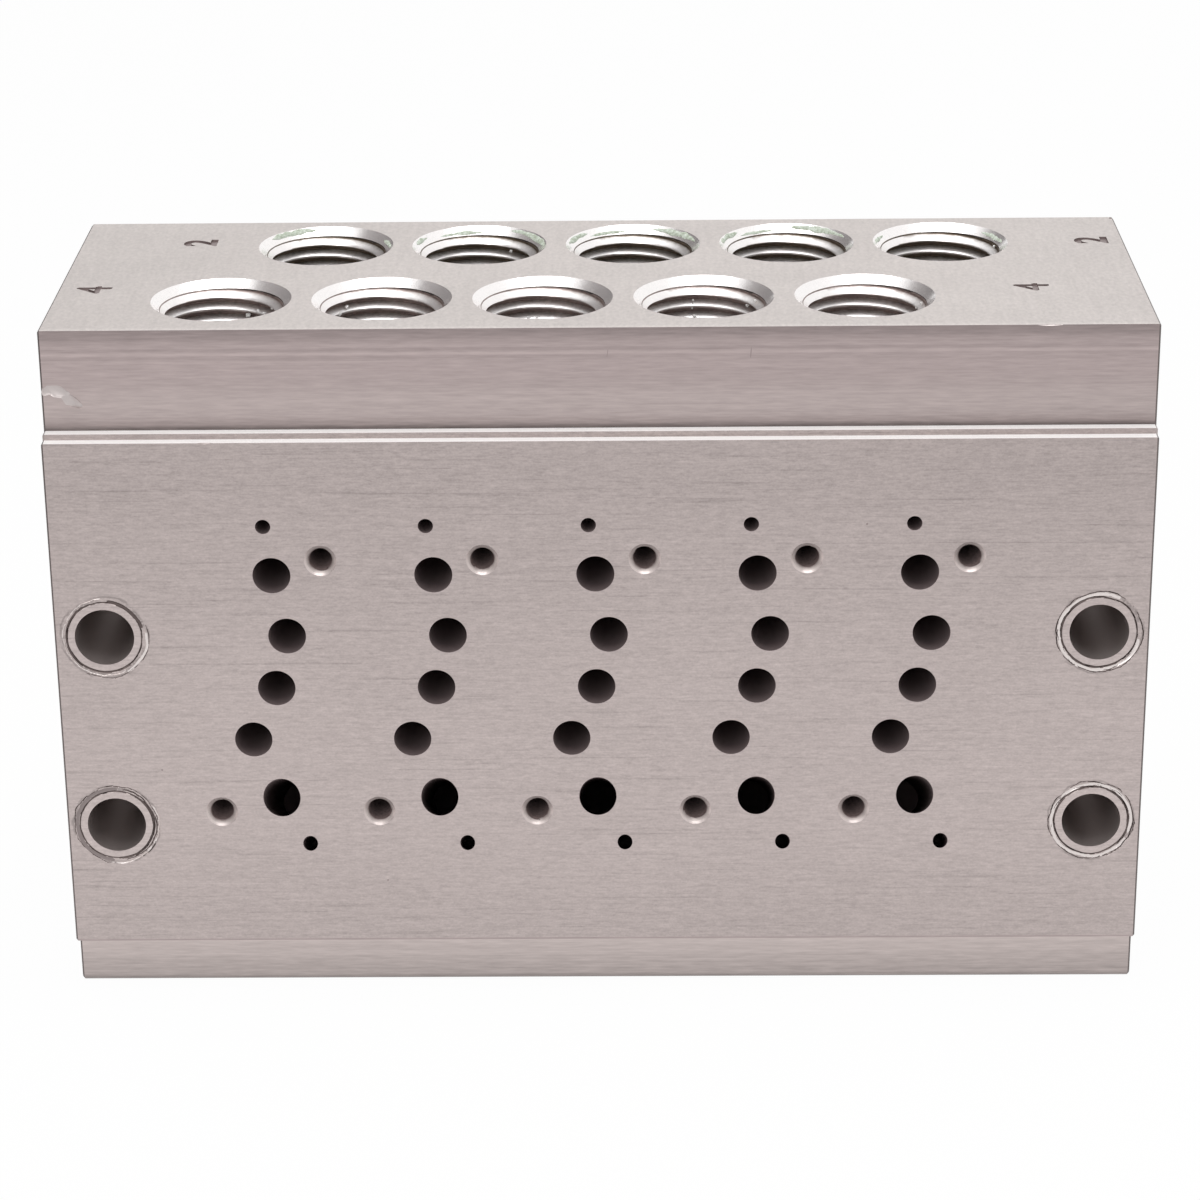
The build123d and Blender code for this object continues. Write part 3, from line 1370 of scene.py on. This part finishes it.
def main() -> None:
    """Build the block, its threads and the room."""
    logging.basicConfig(level=logging.INFO, format="%(message)s")
    noise.seed_set(NOISE_SEED)
    scene = bpy.context.scene
    scene.view_settings.view_transform = "Standard"
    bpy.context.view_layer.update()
    low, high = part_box(BLOCK)

    imprints = Imprints(ScrewHoles())
    turned_metals = {
        # LEDGE: pure white diffuse, a painted highlight along the ledges.
        Face.LEDGE: ((1.0, 0.98, 0.97), 0.4, 0.0),
        Face.SINK: ((0.95, 0.92, 0.91), 0.24),
        Face.SCREW_SINK: ((0.64, 0.56, 0.54), 0.3, 0.6),
        Face.BORE: ((0.46, 0.40, 0.385), 0.4, 0.7),
        # PASSAGE: nearly black, painted shade inside the ports and passages.
        Face.PASSAGE: ((0.20, 0.155, 0.155), 0.55, 0.2),
        # EDGE: dark, painted shade on the chamfers at the ends.
        Face.EDGE: ((0.16, 0.135, 0.13), 0.5),
        Face.FRESH: ((0.51, 0.46, 0.45), 0.4),
        Face.STAMPED: ((0.31, 0.26, 0.255), 0.5),
        Face.PRESSED: ((0.12, 0.095, 0.09), 0.35),
        Face.BRUISED: ((0.72, 0.66, 0.64), 0.3),
        Face.RUBBED: ((0.26, 0.22, 0.215), 0.45),
    }
    finishes = {
        Face.PAD: MilledPad().material(imprints),
        Face.SKIN: DrawnSkin().material(Face.SKIN),
        Face.BAND: DrawnSkin().material(Face.BAND),
        Face.TOP: MattTop().material(),
        Face.END: SawnEnd().material(),
    }
    for kind, look in turned_metals.items():
        finishes[kind] = TurnedMetal(kind.value, *look).material()
    front, top = low.y / MM, high.z / MM
    pits = [
        ((27.84, -20.5, 54.84), (0.13, 0.05, 0.13), 6),
        ((-38.12, -20.5, 6.2), (0.20, 0.06, 0.10), 10),
        ((-13.59, -20.5, 6.2), (0.18, 0.06, 0.10), 11),
        ((-23.42, -20.5, 13.62), (0.12, 0.04, 0.11), 12),
        ((-47.26, -20.5, 26.94), (0.13, 0.03, 0.10), 13),
    ]
    block = Block(
        half_length=high.x / MM,
        height=top,
        front=front,
        back=high.y / MM,
        marks=[
            Stamp("4", (-53.8, -4.3), top, 5.3, 0.22, 0.0),
            Stamp("4", (-53.64, -4.16), top, 5.3, 0.19, 0.0),
            Stamp("4", (46.0, -5.4), top, 5.3, 0.22, 0.0),
            Stamp("4", (46.16, -5.26), top, 5.3, 0.19, 0.0),
            Stamp("2", (-44.3, 12.8), top),
            Stamp("2", (54.4, 11.6), top),
            Chip((-56.05, -18.34, 69.10), (1.75, 0.38, 0.86), (-8, 18, 0), 1, 0.2),
            Chip((-54.95, -18.32, 68.40), (2.0, 0.36, 0.72), (8, 40, 4), 9, 0.2),
            Chip((-57.35, -18.32, 69.25), (1.1, 0.36, 0.66), (18, 4, 0), 4, 0.2),
            Chip((15.73, -18.19, 73.0), (0.06, 0.03, 0.8), (0, 4, 0), 2, 0.1, Face.STAMPED),
            Chip((0.95, -18.19, 73.0), (0.05, 0.02, 0.7), (0, 9, 0), 3, 0.1, Face.STAMPED),
            Chip((-40.85, -20.5, 64.25), (1.0, 0.16, 0.14), (0, 3, 0), 5, 0.2),
            *(Chip(at, size, (0, 0, 0), seed, 0.2, Face.STAMPED) for at, size, seed in pits),
            Chip((57.65, 20.1, 75.8), (0.45, 0.3, 0.12), (0, 0, 20), 7, 0.2, Face.STAMPED),
            Chip((46.4, -18.2, 75.8), (1.6, 0.10, 0.12), (0, 0, 1), 8, 0.3),
            *imprints.marks(front),
        ],
    )
    block.build(finishes)

    cut = CutThread("cut_thread").material()
    # The back row's threads get a darker colour in their roots.
    darker_roots = CutThread("darker_roots_thread", painted_shade=(0.13, 0.10, 0.075)).material()
    small = CutThread(
        "screw_thread", (0.56, 0.49, 0.47), (0.14, 0.098, 0.094), roughness=0.35, metallic=0.4
    ).material()
    pipe = Tap(major=6.58, core=5.72, pitch=1.337, depth=12.0, sink=7.43, flank=27.5)
    screw = Tap(
        major=1.5,
        core=1.19,
        pitch=0.5,
        depth=6.0,
        sink=1.7,
        steps=36,
        seat=0.015,
        # Nearly the whole small thread is painted in shade.
        least_painted_shade=0.9,
        whole_sink=True,
    )
    pilot = Tap(major=2.5, core=2.1, pitch=0.8, depth=6.0, sink=2.9, steps=48, seat=0.02)
    ends = ("port_1", "port_3", "port_4", "port_5")
    back_row = mouths(("port_2",), pipe.sink_depth)
    pilots = mouths(("upper_pilot", "lower_pilot"), pilot.sink_depth)
    ThreadSet("pipe_threads", pipe, mouths(ends, pipe.sink_depth), cut).build()
    ThreadSet("back_row_threads", pipe, back_row, darker_roots).build()
    ThreadSet("pilot_threads", pilot, pilots, cut).build()
    ThreadSet("valve_screw_threads", screw, screw_mouths(), small, drift=137.5).build()

    sealant = Residue("old_sealant", (0.38, 0.43, 0.33), (0.70, 0.76, 0.68)).material()
    smears_by_port = [
        [(104.0, 152.0, 7.15, 0.34), (4.0, 28.0, 7.0, 0.26)],
        [(148.0, 170.0, 7.1, 0.28), (84.0, 132.0, 6.82, 0.22), (2.0, 62.0, 7.1, 0.34)],
        [(136.0, 172.0, 7.1, 0.30), (96.0, 134.0, 6.80, 0.18), (14.0, 72.0, 7.05, 0.32)],
        [(138.0, 172.0, 7.15, 0.34), (96.0, 136.0, 6.80, 0.18), (24.0, 84.0, 7.1, 0.34)],
        [(150.0, 176.0, 7.05, 0.22), (8.0, 44.0, 6.95, 0.26)],
    ]
    smears = [(at, *s) for (at, axis), port in zip(back_row, smears_by_port) for s in port]
    Smears("sealant_smears", sealant, smears, pipe.sink).build()
    pale = Residue("pale_crumbs", (0.74, 0.72, 0.70), (0.96, 0.95, 0.94)).material()
    bits = [
        ((-37.84, -2.30, 72.24), 0.26),
        ((-36.67, -2.90, 72.88), 0.19),
        ((-35.97, -3.49, 72.84), 0.17),
        ((-34.95, -4.74, 73.80), 0.15),
        ((-27.83, -4.57, 73.02), 0.28),
        ((-27.04, -3.58, 73.48), 0.18),
        ((-7.73, -2.20, 71.66), 0.20),
        ((-6.77, -1.99, 71.70), 0.17),
        ((10.01, -1.99, 73.50), 0.09),
        ((10.01, -2.02, 73.06), 0.10),
        ((9.90, -2.06, 72.62), 0.10),
        ((10.12, -2.01, 71.70), 0.20),
        ((15.74, -4.24, 73.62), 0.20),
        ((16.55, -5.29, 74.40), 0.17),
        ((26.88, -2.01, 71.36), 0.18),
        ((27.74, -1.93, 71.44), 0.18),
        ((33.70, -6.22, 73.80), 0.20),
        ((34.08, -6.62, 74.48), 0.14),
        ((-28.00, 16.82, 72.82), 0.13),
        ((-10.16, 16.35, 73.54), 0.19),
        ((-9.22, 15.58, 74.12), 0.15),
        ((43.70, 13.12, 74.72), 0.14),
    ]
    Crumbs("pale_crumbs", pale, bits).build()

    Studio().build()


if __name__ == "__main__":
    main()
